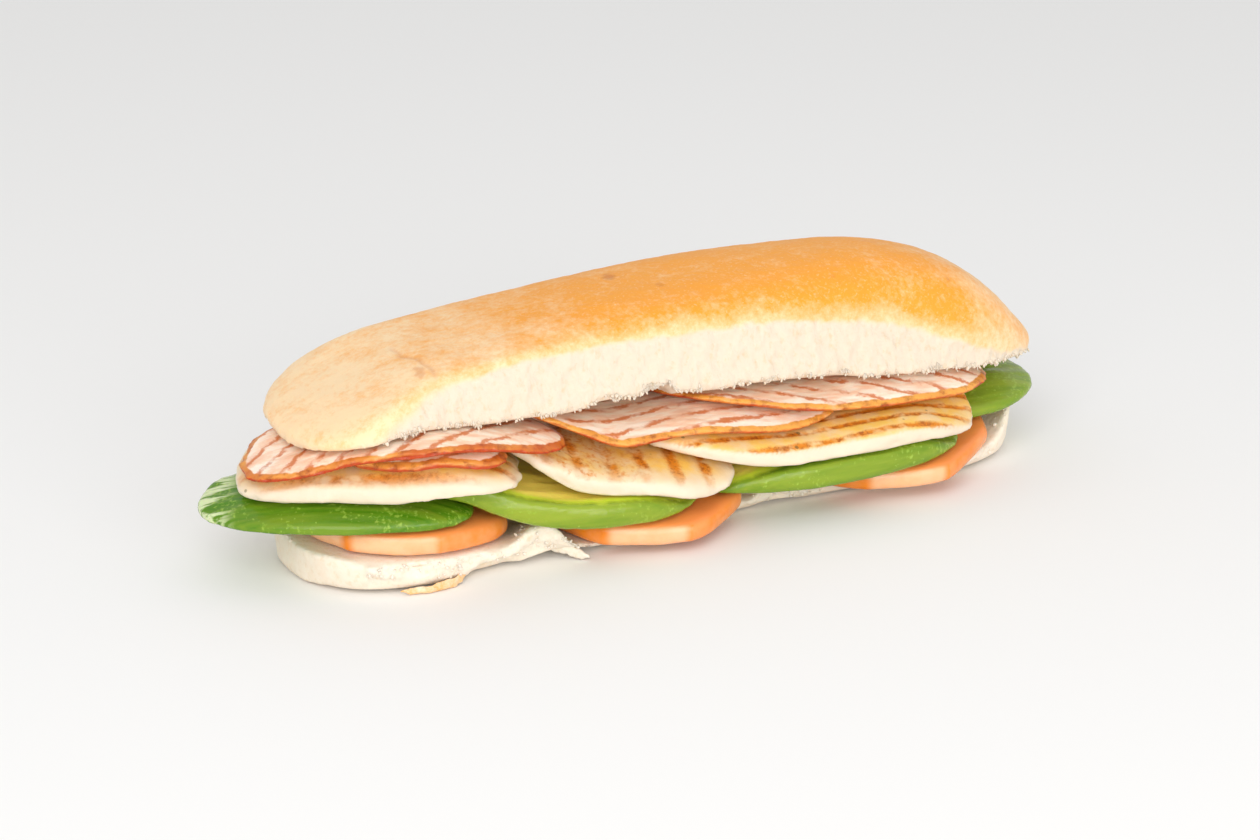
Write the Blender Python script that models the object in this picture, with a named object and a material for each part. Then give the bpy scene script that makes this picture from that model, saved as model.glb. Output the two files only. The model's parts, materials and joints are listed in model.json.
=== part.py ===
"""A long soft white roll, cut through and filled with tomato, cucumber, grilled halloumi and bacon.

Metres, +Z up. +X runs along the roll and -Y is the front, where the filling stands out. The origin is on
the table, under the middle of the sandwich. Every slice is laid on what is already there: the Pile keeps
how high the food stands over the bed, and a new slice takes its underside from it, bridging steps by its
stiffness. The tomatoes are pressed into the lower half, so that bread and tomato end at one height.
"""

import math
from collections import namedtuple

import bmesh
import bpy
import numpy as np
from mathutils import Matrix, Vector, noise

# The two halves of the roll. A skew is how much a half turns to the back for its length to the right.
# Each profile is a row of pairs, a place along X and a size there: the top of the crust, the height
# that the cut of the upper half stays above, where its torn side ends under the crust, and how far the
# lower half swells to the front.
UPPER_LENGTH = 0.2655
UPPER_WIDTH = 0.069
UPPER_X = 0.00725
UPPER_Y = 0.0042
UPPER_SKEW = 0.045
UPPER_LEFT_END = 0.024
UPPER_RIGHT_END = 0.060
LOWER_LENGTH = 0.255
LOWER_WIDTH = 0.063
LOWER_X = 0.0015
LOWER_SKEW = 0.030
LOWER_LEFT_END = 0.028
LOWER_RIGHT_END = 0.042
END_POWER = 2.3
BASE_ROUND = 0.0042
SIDE_LEAN = 0.0053
UPPER_STEP = 0.0058
LOWER_STEP = 0.0042
CREST = (
    (-0.1250, 0.0455), (-0.1180, 0.0500), (-0.1060, 0.0548), (-0.0850, 0.0608), (-0.0500, 0.0673),
    (-0.0150, 0.0713), (0.0250, 0.0735), (0.0600, 0.0732), (0.0850, 0.0710), (0.1000, 0.0672),
    (0.1120, 0.0615), (0.1230, 0.0530), (0.1320, 0.0425), (0.1400, 0.0335),
)
CUT_LINE = (
    (-0.1250, 0.0400), (-0.1100, 0.0425), (-0.0900, 0.0440), (-0.0200, 0.0440), (0.0200, 0.0425),
    (0.0600, 0.0390), (0.1120, 0.0335), (0.1400, 0.0310),
)
CRUST_LINE = (
    (-0.1300, 0.0430), (-0.1180, 0.0455), (-0.1050, 0.0530), (-0.0900, 0.0600), (-0.0630, 0.0625),
    (-0.0200, 0.0632), (0.0200, 0.0625), (0.0450, 0.0600), (0.0720, 0.0540), (0.0950, 0.0455),
    (0.1120, 0.0385), (0.1300, 0.0335), (0.1390, 0.0315),
)
FRONT_BULGE = (
    (-0.1300, 0.0020), (-0.1100, 0.0050), (-0.0900, 0.0064), (-0.0650, 0.0040), (-0.0450, 0.0050),
    (-0.0280, 0.0), (0.1300, 0.0),
)

# The bed that the tomatoes lie on: its height along the middle, how far it has dropped 40 mm to the
# front, and its slope up to the uncut back. It goes on past the bread, as the slices droop.
BED_HEIGHT = (
    (-0.1500, 0.0085), (-0.1200, 0.0112), (-0.0900, 0.0112), (-0.0700, 0.0092), (-0.0500, 0.0060),
    (-0.0300, 0.0045), (0.0, 0.0045), (0.0500, 0.0045), (0.0900, 0.0055), (0.1200, 0.0080), (0.1500, 0.0090),
)
BED_DROP = ((-0.1500, 0.0010), (-0.0850, 0.0012), (-0.0300, 0.0022), (0.0600, 0.0020), (0.1500, 0.0015))
BED_DROP_AT = 0.040
BED_STRAIGHT_FROM = 0.030
BED_BACK_SLOPE = 0.30
BED_BACK_ROUND = 0.010

# The crumb starts to rise, and is level with the tomatoes' tops, at these shares of the way out over a rim.
PRESSED_RIM = (1.06, 1.21)

# Relief of the torn sides, and the hollow torn out under the front of the lower half
TORN_DEPTH = 0.0011
TORN_GRAIN = 0.009
HOLLOW_X = -0.048
HOLLOW_WIDTH = 0.011
HOLLOW_LIFT = 0.0040

# Clearances, and the grid that the pile is kept on
GAP = 0.00045
CELL = 0.0015
SPARE_CELLS = 3
SAG_CELLS = 3
REACH_X = 0.180
REACH_Y = 0.084

# Thickness of each kind of slice. A cucumber cap and a slice of halloumi thin out to their edges.
TOMATO_THICK = 0.0080
CUCUMBER_THICK = 0.0082
CAP_THICK = 0.0078
CAP_EDGE_THICK = 0.0024
HALLOUMI_THICK = 0.0082
HALLOUMI_EDGE_THICK = 0.0058
BACON_THICK = 0.0027
UPPER_STIFFNESS = 5

# How the edge of each kind goes from the middle of its underside to the middle of its top: the share of
# the way out to the outline, and the share of the way up.
TOMATO_EDGE = (
    (0.45, 0), (0.88, 0), (0.975, 0.10), (1, 0.38), (1, 0.70), (0.975, 0.92), (0.88, 1), (0.45, 1),
)
SLAB_EDGE = (
    (0.35, 0), (0.70, 0), (0.94, 0), (0.99, 0.22), (1, 0.60), (0.975, 0.92), (0.92, 1), (0.70, 1), (0.35, 1),
)
CAP_EDGE = (
    (0.40, 0), (0.75, 0), (0.97, 0), (1, 0.45), (0.985, 1), (0.90, 1), (0.74, 1), (0.50, 1), (0.25, 1),
)
RASHER_EDGE = (
    (0.30, 0), (0.60, 0), (0.85, 0), (0.98, 0.12), (1, 0.55), (0.98, 0.92), (0.85, 1), (0.60, 1), (0.30, 1),
)

SKIN_RED = (0.86, 0.22, 0.06, 1)
SKIN_GREEN = (0.16, 0.34, 0.04, 1)
CHEESE_CREAM = (0.93, 0.79, 0.50, 1)
RASHER_PINK = (0.84, 0.40, 0.24, 1)
CRUST_GOLD = (0.86, 0.50, 0.17, 1)
CRUMB_CREAM = (0.93, 0.84, 0.66, 1)

# rim is the thickness at the thin edge, power squares the outline, taper thins both ends, and stiffness is
# how many times the sag of the slice is evened out.
Kind = namedtuple("Kind", "edge thick rim power taper stiffness wave around colour roughness")
Slice = namedtuple("Slice", "name kind x y length width turn lobes lobe_depth seed")

TOMATO = Kind(TOMATO_EDGE, TOMATO_THICK, TOMATO_THICK, 2.0, 0.0, 0, 0.0, 30, SKIN_RED, 0.25)
SLAB = Kind(SLAB_EDGE, CUCUMBER_THICK, CUCUMBER_THICK, 2.4, 0.82, 8, 0.0, 32, SKIN_GREEN, 0.3)
CAP = Kind(CAP_EDGE, CAP_THICK, CAP_EDGE_THICK, 2.2, 0.0, 8, 0.0, 32, SKIN_GREEN, 0.3)
HALLOUMI = Kind(SLAB_EDGE, HALLOUMI_THICK, HALLOUMI_EDGE_THICK, 3.4, 0.34, 16, 0.0002, 34, CHEESE_CREAM, 0.45)
RASHER = Kind(RASHER_EDGE, BACON_THICK, BACON_THICK, 2.2, 0.0, 22, 0.0002, 38, RASHER_PINK, 0.4)

TOMATOES = (
    Slice("tomato_left", TOMATO, -0.0895, -0.0085, 0.067, 0.067, 14, 6, 0.020, 1),
    Slice("tomato_centre", TOMATO, -0.0150, -0.0105, 0.074, 0.073, 4, 6, 0.020, 2),
    Slice("tomato_right", TOMATO, 0.0758, -0.0045, 0.077, 0.074, 6, 6, 0.018, 3),
)

# From the tomatoes up, in the order that they were laid
SLICES = (
    Slice("cucumber_left", CAP, -0.1115, -0.0135, 0.082, 0.041, -28, 3, 0.010, 4),
    Slice("cucumber_right", SLAB, 0.0470, -0.0225, 0.098, 0.042, 0, 2, 0.012, 5),
    Slice("cucumber_tip", CAP, 0.1060, 0.0000, 0.064, 0.042, 4, 3, 0.012, 6),
    Slice("cucumber_centre", SLAB, -0.0475, -0.0237, 0.094, 0.042, -7, 2, 0.012, 7),
    Slice("halloumi_left", HALLOUMI, -0.0970, -0.0115, 0.084, 0.050, -26, 5, 0.012, 8),
    Slice("bacon_under", RASHER, -0.0885, -0.0290, 0.047, 0.026, -22, 5, 0.030, 9),
    Slice("halloumi_centre", HALLOUMI, -0.0252, -0.0107, 0.081, 0.068, -9, 3, 0.014, 10),
    Slice("halloumi_right", HALLOUMI, 0.0405, -0.0135, 0.124, 0.060, -1, 5, 0.010, 11),
    Slice("bacon_left", RASHER, -0.0918, -0.0168, 0.092, 0.049, -18, 4, 0.062, 12),
    Slice("bacon_centre", RASHER, -0.0020, -0.0092, 0.125, 0.060, -3, 4, 0.028, 3),
    Slice("bacon_right", RASHER, 0.0520, -0.0060, 0.126, 0.060, 0, 4, 0.022, 14),
)


def smooth_step(low, high, value):
    """0 below low, 1 above high and a smooth rise between them."""
    share = np.clip((value - low) / (high - low), 0.0, 1.0)
    return share * share * (3.0 - 2.0 * share)


def profile(pairs, x):
    """A size along the roll, as a smooth curve through the pairs of place and size."""
    places = np.array([place for place, size in pairs])
    sizes = np.array([size for place, size in pairs])
    slopes = np.gradient(sizes, places)
    x = np.clip(x, places[0], places[-1])
    k = np.clip(np.searchsorted(places, x) - 1, 0, len(places) - 2)
    step = places[k + 1] - places[k]
    t = (x - places[k]) / step
    start = sizes[k] * (1 + 2 * t) * (1 - t) ** 2 + slopes[k] * step * t * (1 - t) ** 2
    end = sizes[k + 1] * t * t * (3 - 2 * t) + slopes[k + 1] * step * t * t * (t - 1)
    return start + end


def bed_height(x, y):
    """The height of the bed under the tomatoes, carried on past the bread's edges."""
    front = np.clip(-y, 0.0, BED_STRAIGHT_FROM)
    past = np.maximum(-y - BED_STRAIGHT_FROM, 0.0)
    curve = (front * front + 2 * BED_STRAIGHT_FROM * past) / BED_DROP_AT**2
    back = (np.sqrt(y * y + BED_BACK_ROUND**2) + y) / 2
    return profile(BED_HEIGHT, x) - profile(BED_DROP, x) * curve + BED_BACK_SLOPE * back


def rounded(share, power):
    """The height of a rounded end, from 1 where it starts to 0 at its tip."""
    return (1.0 - np.clip(share, 0.0, 1.0) ** power) ** (1.0 / power)


def outline_radius(piece, angle):
    """How far a slice reaches from its middle in a direction of its own plan."""
    kind = piece.kind
    along = np.abs(np.cos(angle)) / (piece.length / 2)
    across = np.abs(np.sin(angle)) / (piece.width / 2)
    even = (along**kind.power + across**kind.power) ** (-1.0 / kind.power)
    lobes = np.cos(piece.lobes * angle + piece.seed)
    ragged = 0.35 * np.cos((2 * piece.lobes + 1) * angle + 2.1 * piece.seed)
    return even * (1.0 + piece.lobe_depth * (lobes + ragged))


def in_plan(piece, x, y):
    """Places in a slice's own plan: how far along it, and the share of the way out to its outline."""
    turn = math.radians(piece.turn)
    along = (x - piece.x) * math.cos(turn) + (y - piece.y) * math.sin(turn)
    across = (y - piece.y) * math.cos(turn) - (x - piece.x) * math.sin(turn)
    return along, np.hypot(along, across) / outline_radius(piece, np.arctan2(across, along))


def crumb_height(x, y):
    """The cut face of the lower half: pressed to the bed under each tomato, level with it between them."""
    pressed = 0.0
    for piece in TOMATOES:
        along, out = in_plan(piece, x, y)
        pressed = np.maximum(pressed, 1.0 - smooth_step(*PRESSED_RIM, out))
    return bed_height(x, y) + (TOMATO_THICK + GAP) * (1.0 - pressed)


def neighbours(heights, cells, combine):
    """Each cell combined with those within that many cells of it, along each axis in turn."""
    for axis in (0, 1):
        pad = [(0, 0), (0, 0)]
        pad[axis] = (cells, cells)
        padded = np.pad(heights, pad, mode="edge")
        size = heights.shape[axis]
        shifted = [np.take(padded, range(k, k + size), axis=axis) for k in range(2 * cells + 1)]
        heights = combine(shifted)
    return heights


def highest(shifted):
    """The highest of several height maps at each cell."""
    return np.max(shifted, axis=0)


def average(shifted):
    """The average of several height maps at each cell."""
    return np.mean(shifted, axis=0)


class Pile:
    """How high the food stands above the bed, on a grid over the table."""

    def __init__(self):
        self.xs = np.arange(-REACH_X, REACH_X + CELL / 2, CELL)
        self.ys = np.arange(-REACH_Y, REACH_Y + CELL / 2, CELL)
        self.grid_x, self.grid_y = np.meshgrid(self.xs, self.ys, indexing="ij")
        self.raised = np.full(self.grid_x.shape, TOMATO_THICK + GAP)

    def draped(self, covered, stiffness):
        """The underside of a slice over the covered cells: laid on what is highest, sagging between."""
        held_up = np.where(covered, self.raised, TOMATO_THICK + GAP)
        held_up = neighbours(held_up, SPARE_CELLS, highest)
        under = held_up
        for sag in range(stiffness):
            under = np.maximum(held_up, neighbours(under, SAG_CELLS, average))
        return neighbours(under, 1, average)

    def at(self, heights, x, y):
        """A height map read at one point, between its cells."""
        across = (x + REACH_X) / CELL
        along = (y + REACH_Y) / CELL
        i = min(max(int(across), 0), len(self.xs) - 2)
        j = min(max(int(along), 0), len(self.ys) - 2)
        s = across - i
        t = along - j
        near = heights[i, j] * (1 - t) + heights[i, j + 1] * t
        far = heights[i + 1, j] * (1 - t) + heights[i + 1, j + 1] * t
        return near * (1 - s) + far * s


def slice_thickness(piece, along, out):
    """The thickness at a place along a slice and a share of the way out. Some kinds thin to their edge."""
    kind = piece.kind
    crown = np.clip(1.0 - out * out, 0.0, 1.0) ** 0.75
    thinned = 1.0 - kind.taper * smooth_step(0.45, 1.0, np.abs(along) / (piece.length / 2))
    return (kind.rim + (kind.thick - kind.rim) * crown) * thinned


def ripple(piece, x, y):
    """How far a slice stands off what it lies on, by its own waviness."""
    first = np.sin(95.0 * x + 60.0 * y + piece.seed)
    second = np.sin(140.0 * y - 50.0 * x + 1.7 * piece.seed)
    return piece.kind.wave * (1.0 + 0.5 * first + 0.5 * second)


def new_object(name, shape, colour, roughness, collection):
    """A smooth-shaded object from a bmesh, in a plain material of its own."""
    mesh = bpy.data.meshes.new(name)
    bmesh.ops.recalc_face_normals(shape, faces=shape.faces)
    shape.to_mesh(mesh)
    shape.free()
    mesh.shade_smooth()
    material = bpy.data.materials.new(name)
    material.use_nodes = True
    shader = material.node_tree.nodes["Principled BSDF"]
    shader.inputs["Base Color"].default_value = colour
    shader.inputs["Roughness"].default_value = roughness
    shader.inputs["Metallic"].default_value = 0.0
    mesh.materials.append(material)
    made = bpy.data.objects.new(name, mesh)
    collection.objects.link(made)
    return made


def skin_rings(shape, rings):
    """Bands of four-sided faces between closed rings of points that follow each other."""
    for lower, upper in zip(rings, rings[1:]):
        count = len(lower)
        for k in range(count):
            after = (k + 1) % count
            shape.faces.new((lower[k], lower[after], upper[after], upper[k]))


def close_with_point(shape, ring, point):
    """A fan from a ring to one point."""
    count = len(ring)
    for k in range(count):
        shape.faces.new((ring[k], ring[(k + 1) % count], point))


def build_slice(piece, foot_at, collection):
    """One slice, as rings from the middle of its underside, which foot_at gives, to that of its top."""
    kind = piece.kind
    turn = math.radians(piece.turn)

    def point(angle, share, level):
        """A point of the slice's surface, by its direction, its share of the way out and of the way up."""
        reach = share * outline_radius(piece, angle)
        u, v = reach * math.cos(angle), reach * math.sin(angle)
        x = piece.x + u * math.cos(turn) - v * math.sin(turn)
        y = piece.y + u * math.sin(turn) + v * math.cos(turn)
        return Vector((x, y, foot_at(x, y) + level * slice_thickness(piece, u, share)))

    shape = bmesh.new()
    rings = []
    for share, level in kind.edge:
        ring = []
        for k in range(kind.around):
            turned = 2 * math.pi * k / kind.around
            angle = math.atan2(piece.width * math.sin(turned), piece.length * math.cos(turned))
            ring.append(shape.verts.new(point(angle, share, level)))
        rings.append(ring)
    skin_rings(shape, rings)
    close_with_point(shape, rings[0][::-1], shape.verts.new(point(0.0, 0.0, 0.0)))
    close_with_point(shape, rings[-1], shape.verts.new(point(0.0, 0.0, 1.0)))
    return new_object(piece.name, shape, kind.colour, kind.roughness, collection)


def lay_slice(piece, pile, collection):
    """Builds one slice on the pile and raises the pile by it."""
    along, out = in_plan(piece, pile.grid_x, pile.grid_y)
    under = pile.draped(out < 1.04, piece.kind.stiffness)

    def foot_at(x, y):
        """The height of the slice's underside at a point."""
        return bed_height(x, y) + pile.at(under, x, y) + GAP + ripple(piece, x, y)

    top = under + GAP + ripple(piece, pile.grid_x, pile.grid_y) + slice_thickness(piece, along, out)
    pile.raised = np.where(out < 1.02, np.maximum(pile.raised, top), pile.raised)
    return build_slice(piece, foot_at, collection)


def stations(length, left_end, right_end, step):
    """Where a half's sections stand along X, closer together round its ends."""
    left = -length / 2 + left_end
    right = length / 2 - right_end
    count = round((right - left) / step)
    middle = np.linspace(left, right, count)[1:-1]
    bend = np.sin(np.linspace(0.0, 1.0, 9)[:-1] * math.pi / 2) ** 0.9 * 0.996
    return np.concatenate([(left - left_end * bend)[::-1], middle, right + right_end * bend])


def half_width(x, length, width, left_end, right_end):
    """Half the width of a half of the roll, with rounded ends and a slight swell by hand."""
    past_left = np.maximum(-x - (length / 2 - left_end), 0.0) / left_end
    past_right = np.maximum(x - (length / 2 - right_end), 0.0) / right_end
    swell = 1.0 + 0.015 * math.sin(38.0 * x + 0.6)
    return width / 2 * swell * float(rounded(past_left, END_POWER) * rounded(past_right, END_POWER))


def torn(x, z, side):
    """How far the torn side stands out at a point. side is -1 at the front and 1 at the back."""
    place = Vector((x, z * 1.6, 0.05 * side)) / TORN_GRAIN
    fine = noise.noise(place * 2.1 + Vector((7.0, 3.0, 1.0)))
    return TORN_DEPTH * (noise.noise(place) + 0.5 * fine)


def loft(shape, rings_of_points, left_tip, right_tip):
    """Joins the sections along X and closes both ends in a point."""
    rings = [[shape.verts.new(point) for point in points] for points in rings_of_points]
    skin_rings(shape, rings)
    close_with_point(shape, rings[0][::-1], shape.verts.new(left_tip))
    close_with_point(shape, rings[-1], shape.verts.new(right_tip))


def upper_half(pile, collection):
    """The upper half of the roll, draped on the filling: torn sides, the crust, and the cut face."""
    inside = np.abs(pile.grid_y - UPPER_Y - UPPER_SKEW * pile.grid_x) < UPPER_WIDTH / 2 * 1.03
    inside &= np.abs(pile.grid_x - UPPER_X) < UPPER_LENGTH / 2 * 1.01
    under = pile.draped(inside, UPPER_STIFFNESS)

    def underside(x, y):
        """The height of the cut face at a point."""
        draped = float(bed_height(x, y)) + pile.at(under, x, y) + GAP
        return max(draped, float(profile(CUT_LINE, x)))

    sections = []
    for local_x in stations(UPPER_LENGTH, UPPER_LEFT_END, UPPER_RIGHT_END, UPPER_STEP):
        x = UPPER_X + local_x
        mid = UPPER_Y + UPPER_SKEW * x
        wide = half_width(local_x, UPPER_LENGTH, UPPER_WIDTH, UPPER_LEFT_END, UPPER_RIGHT_END)
        torn_share = 1.0 - float(smooth_step(0.082, 0.104, abs(x)))
        line = float(profile(CRUST_LINE, x))
        crest = float(profile(CREST, x))
        side_foot = [underside(x, mid + side * wide) for side in (-1, 1)]
        side_line = [max(line, foot + 0.0030) for foot in side_foot]
        top_line = max(side_line)
        crest = max(crest, top_line + 0.0012)
        points = []
        for level in (0.0, 0.25, 0.5, 0.75):
            z = side_foot[0] + (side_line[0] - side_foot[0]) * level
            lean = SIDE_LEAN * level * torn_share + torn(x, z, -1) * torn_share
            points.append((x, mid - wide + lean, z))
        for step in range(11):
            angle = math.pi * step / 10
            reach = abs(math.cos(angle)) ** 0.82 * math.copysign(1.0, math.cos(angle))
            start = side_line[0] if step <= 5 else side_line[1]
            z = start + (crest - start) * math.sin(angle) ** 0.88
            points.append((x, mid - (wide - SIDE_LEAN * torn_share) * reach, z))
        for level in (0.75, 0.5, 0.25, 0.0):
            z = side_foot[1] + (side_line[1] - side_foot[1]) * level
            lean = SIDE_LEAN * level * torn_share - torn(x, z, 1) * torn_share
            points.append((x, mid + wide - lean, z))
        for share in (0.80, 0.52, 0.22, -0.08, -0.38, -0.66, -0.86):
            y = mid + share * wide
            points.append((x, y, underside(x, y)))
        sections.append(points)
    tips = []
    for side in (-1, 1):
        tip_x = UPPER_X + side * UPPER_LENGTH / 2
        tip_y = UPPER_Y + UPPER_SKEW * tip_x
        middle = 0.5 * (underside(tip_x, tip_y) + float(profile(CREST, tip_x)))
        tips.append((tip_x, tip_y, max(middle, underside(tip_x, tip_y) + 0.001)))
    shape = bmesh.new()
    loft(shape, sections, *tips)
    return new_object("bread_top", shape, CRUST_GOLD, 0.55, collection)


def lower_half(collection):
    """The lower half of the roll, flat underneath, with the hollow torn out below its front."""
    sections = []
    for local_x in stations(LOWER_LENGTH, LOWER_LEFT_END, LOWER_RIGHT_END, LOWER_STEP):
        x = LOWER_X + local_x
        wide = half_width(local_x, LOWER_LENGTH, LOWER_WIDTH, LOWER_LEFT_END, LOWER_RIGHT_END)
        share_wide = wide / (LOWER_WIDTH / 2)
        torn_share = 1.0 - float(smooth_step(0.086, 0.108, abs(x)))
        hollow = HOLLOW_LIFT * math.exp(-(((x - HOLLOW_X) / HOLLOW_WIDTH) ** 2))
        back = LOWER_SKEW * x + wide
        front = LOWER_SKEW * x - wide - float(profile(FRONT_BULGE, x)) * share_wide
        inset = BASE_ROUND * (1.5 - 0.6 * torn_share) * share_wide
        points = []
        for share in (0.0, 0.10, 0.22, 0.34, 0.45, 0.55, 0.64, 0.73, 0.82, 0.91, 1.0):
            y = back + (front - back) * share
            points.append((x, y, float(crumb_height(x, y))))
        edge = points[-1][2]
        for level in (0.75, 0.45, 0.16):
            z = hollow + (edge - hollow) * level
            points.append((x, front + inset * (1.0 - level) ** 2.2 - torn(x, z, -1) * torn_share, z))
        points.append((x, front + inset, hollow))
        for share in (0.16, 0.36, 0.60, 0.82):
            points.append((x, front + inset + (back - front - 2 * inset) * share, 0.0))
        points.append((x, back - inset, 0.0))
        edge = points[0][2]
        for level in (0.16, 0.45, 0.75):
            z = edge * level
            points.append((x, back - inset * (1.0 - level) ** 2.2 + torn(x, z, 1) * torn_share, z))
        sections.append(points)
    tips = []
    for side in (-1, 1):
        tip_x = LOWER_X + side * LOWER_LENGTH / 2
        tips.append((tip_x, LOWER_SKEW * tip_x, 0.5 * float(crumb_height(tip_x, LOWER_SKEW * tip_x))))
    shape = bmesh.new()
    loft(shape, sections, *tips)
    return new_object("bread_bottom", shape, CRUMB_CREAM, 0.7, collection)


def centre_on_origin(made):
    """Moves everything together, so that the origin is under the middle of the whole sandwich."""
    corners = np.array([vertex.co for piece in made for vertex in piece.data.vertices])
    middle = (corners.min(axis=0) + corners.max(axis=0)) / 2
    shift = Matrix.Translation((-middle[0], -middle[1], 0.0))
    for piece in made:
        piece.data.transform(shift)


def main():
    """Clears the scene and lays the sandwich from the bread up."""
    for old in list(bpy.data.objects):
        bpy.data.objects.remove(old)
    collection = bpy.data.collections.new("halloumi_sandwich")
    bpy.context.scene.collection.children.link(collection)
    made = [lower_half(collection)]
    for piece in TOMATOES:
        made.append(build_slice(piece, lambda x, y: bed_height(x, y) + GAP, collection))
    pile = Pile()
    for piece in SLICES:
        made.append(lay_slice(piece, pile, collection))
    made.append(upper_half(pile, collection))
    centre_on_origin(made)


main()
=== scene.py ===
"""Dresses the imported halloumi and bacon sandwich, and sets up its floor, light and camera.

Each CAD node is the plain solid of one slice or of one half of the roll. A finely remeshed copy takes
its place here, gets the relief of the real food as true geometry and carries the masks that its finish
reads. Sizes and places are in millimetres in the row frame, unless a name says otherwise.
"""

from __future__ import annotations

import json
import logging
import math
from abc import ABC, abstractmethod
from dataclasses import dataclass, field
from enum import Enum
from itertools import product
from typing import Any, ClassVar

import bmesh
import bpy
import numpy as np
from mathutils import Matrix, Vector, kdtree

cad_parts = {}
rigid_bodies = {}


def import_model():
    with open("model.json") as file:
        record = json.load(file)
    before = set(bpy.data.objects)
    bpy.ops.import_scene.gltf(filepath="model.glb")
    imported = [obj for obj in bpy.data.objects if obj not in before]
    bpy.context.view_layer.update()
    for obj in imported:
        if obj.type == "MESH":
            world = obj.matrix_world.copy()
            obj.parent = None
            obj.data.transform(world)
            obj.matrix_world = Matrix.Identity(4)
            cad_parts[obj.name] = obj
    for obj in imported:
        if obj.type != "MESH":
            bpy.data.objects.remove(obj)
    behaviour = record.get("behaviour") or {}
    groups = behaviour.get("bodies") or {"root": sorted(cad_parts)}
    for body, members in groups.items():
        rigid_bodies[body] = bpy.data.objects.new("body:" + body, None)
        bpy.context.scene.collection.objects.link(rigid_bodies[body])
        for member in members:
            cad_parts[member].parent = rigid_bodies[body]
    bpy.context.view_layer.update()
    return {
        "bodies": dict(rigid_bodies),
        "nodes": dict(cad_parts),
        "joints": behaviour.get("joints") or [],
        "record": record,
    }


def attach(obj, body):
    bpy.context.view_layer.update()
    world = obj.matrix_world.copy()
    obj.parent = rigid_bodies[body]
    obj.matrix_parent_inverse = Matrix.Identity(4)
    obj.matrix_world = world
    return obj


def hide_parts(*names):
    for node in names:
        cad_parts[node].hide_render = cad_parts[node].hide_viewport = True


MM_IN_METRE = 1000.0
COLLECTION = "halloumi_sandwich_looks"
KNIFE_EDGE = math.radians(32.0)

# From one ridge of the griddle pan to the next.
RIDGE_SPACING = 10.3

SUM = {"operation": "ADD"}
CLAMPED_SUM = {"operation": "ADD", "use_clamp": True}
PRODUCT = {"operation": "MULTIPLY"}
COLOURS = {"data_type": "RGBA"}
SOFT_STEP = {"interpolation_type": "SMOOTHSTEP"}

LOG = logging.getLogger("halloumi_sandwich")

Array = np.ndarray
Masks = dict[str, bpy.types.NodeSocket]


def linear(hex_colour: str) -> tuple[float, float, float, float]:
    """Turns an sRGB hex colour into linear red, green, blue and alpha.

    Args:
        hex_colour: Six hex digits after a number sign.

    Returns:
        The four linear values, with alpha 1.
    """
    shares = [int(hex_colour[place : place + 2], 16) / 255 for place in (1, 3, 5)]
    red, green, blue = (s / 12.92 if s <= 0.04045 else ((s + 0.055) / 1.055) ** 2.4 for s in shares)
    return (red, green, blue, 1.0)


def add_node(
    tree: bpy.types.NodeTree, kind: str, settings: dict[str, Any], inputs: dict[str | int, Any]
) -> bpy.types.Node:
    """Adds one shader node with its settings, its values and the links into it.

    Args:
        tree: The node tree that it goes into.
        kind: Blender's name for the kind of node, without the leading "ShaderNode".
        settings: Values of the node's own properties.
        inputs: For a socket's name or number, the value or hex colour to set, or the socket or node to
            link from. From a node, the link comes from its first output in use.

    Returns:
        The new node.
    """
    node = tree.nodes.new("ShaderNode" + kind)
    for name, value in settings.items():
        setattr(node, name, value)
    for name, value in inputs.items():
        if isinstance(value, str):
            value = linear(value)
        if isinstance(value, bpy.types.Node):
            value = next(output for output in value.outputs if output.enabled)
        if isinstance(value, bpy.types.NodeSocket):
            tree.links.new(value, node.inputs[name])
        else:
            node.inputs[name].default_value = value
    return node


def smooth(low: float | Array, high: float | Array, value: float | Array) -> float | Array:
    """A smooth rise from 0 at low to 1 at high, or a fall where high is the lower one.

    Args:
        low: Where it is 0.
        high: Where it is 1.
        value: Where it is read.

    Returns:
        The share at each value.
    """
    share = np.clip((value - low) / (high - low), 0.0, 1.0)
    return share * share * (3.0 - 2.0 * share)


def direction(turn_deg: float) -> Array:
    """The level unit vector at an angle from +X."""
    turn = math.radians(turn_deg)
    return np.array([math.cos(turn), math.sin(turn), 0.0])


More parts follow.
